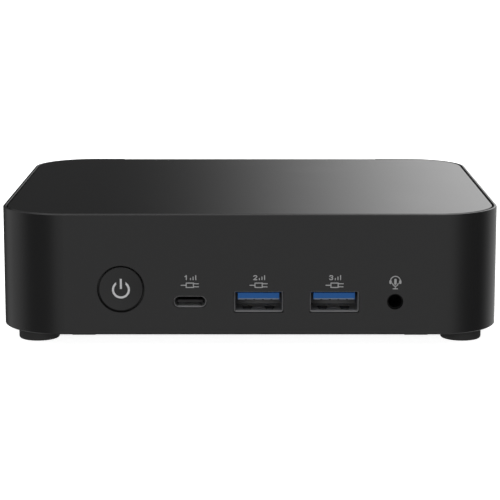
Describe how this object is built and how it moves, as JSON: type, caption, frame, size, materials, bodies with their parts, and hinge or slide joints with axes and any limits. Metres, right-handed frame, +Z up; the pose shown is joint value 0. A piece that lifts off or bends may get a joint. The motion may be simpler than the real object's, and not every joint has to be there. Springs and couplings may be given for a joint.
{
  "type": "mini pc",
  "caption": "Slim palm-size mini PC: rounded flat case on rubber feet, front power button and sockets, vented sides, rear connectors and grille.",
  "frame": {"origin": "centre of the footprint, on the surface the feet stand on", "axes": "+Z up, front face towards -Y, +X to the right seen from the front"},
  "size_m": [0.1354, 0.1156, 0.036],
  "materials": {
    "shell_plastic": "fine satin moulded, near black",
    "lid_plastic": "smooth satin, near black",
    "cover_metal": "powder coated, near black",
    "foot_rubber": "matt",
    "button_plastic": "satin",
    "symbol_light_guide": "light grey, translucent",
    "socket_steel": "nickel plated sheet",
    "socket_blue": "moulded blue insulator",
    "socket_black": "moulded black insulator",
    "contact_gold": "gold plated",
    "board_green": "solder mask",
    "chip_black": "moulded chip packages",
    "screw_steel": "blackened",
    "copper": "plated copper",
    "fin_aluminium": "bare",
    "fan_black": "moulded",
    "cell_steel": "stainless"
  },
  "bodies": {
    "case": {"aerial_left": "contact_gold", "aerial_right": "contact_gold", "audio_jack": "socket_black", "blower_cover": "fan_black", "blower_housing": "fan_black", "board_screws": "screw_steel", "bottom_cover": "cover_metal", "card_screws": "screw_steel", "coin_cell": "cell_steel", "coin_cell_holder": "socket_black", "cold_plate": "copper", "cover_screws": "screw_steel", "data_port_left_contacts": "contact_gold", "data_port_left_insulator": "socket_blue", "data_port_left_shell": "socket_steel", "data_port_right_contacts": "contact_gold", "data_port_right_insulator": "socket_blue", "data_port_right_shell": "socket_steel", "dc_inlet": "socket_black", "dc_inlet_pin": "contact_gold", "fin_stack": "fin_aluminium", "foot_front_left": "foot_rubber", "foot_front_right": "foot_rubber", "foot_rear_left": "foot_rubber", "foot_rear_right": "foot_rubber", "heat_pipes": "copper", "housing": "shell_plastic", "lan_contacts": "contact_gold", "lan_insert": "socket_black", "lan_shield": "socket_steel", "memory_front_module": "board_green", "memory_front_socket": "socket_black", "memory_rear_module": "board_green", "memory_rear_socket": "socket_black", "motherboard": "board_green", "oval_port_insulator": "socket_black", "oval_port_shell": "socket_steel", "power_chokes": "chip_black", "power_switch": "socket_black", "processor": "chip_black", "radio_card": "board_green", "radio_card_socket": "socket_black", "rear_data_port_contacts": "contact_gold", "rear_data_port_insulator": "socket_blue", "rear_data_port_shell": "socket_steel", "rear_panel": "shell_plastic", "solid_state_drive": "board_green", "solid_state_drive_socket": "socket_black", "top_lid": "lid_plastic", "video_port_one_insulator": "socket_black", "video_port_one_shell": "socket_steel", "video_port_two_insulator": "socket_black", "video_port_two_shell": "socket_steel"},
    "button": {"power_button": "button_plastic", "power_symbol": "symbol_light_guide", "switch_plunger": "socket_black"},
    "fan": {"impeller": "fan_black"}
  },
  "joints": [
    {"name": "power_button_press", "type": "slide", "parent": "case", "child": "button", "axis": [0, 1, 0], "range_m": [0, 0.0005], "stiffness_N_per_m": 900, "springref_m": -0.0006},
    {"name": "fan_spin", "type": "hinge", "parent": "case", "child": "fan", "pos_m": [-0.012, 0.008, 0.0202], "axis": [0, 0, 1], "continuous": true}
  ]
}
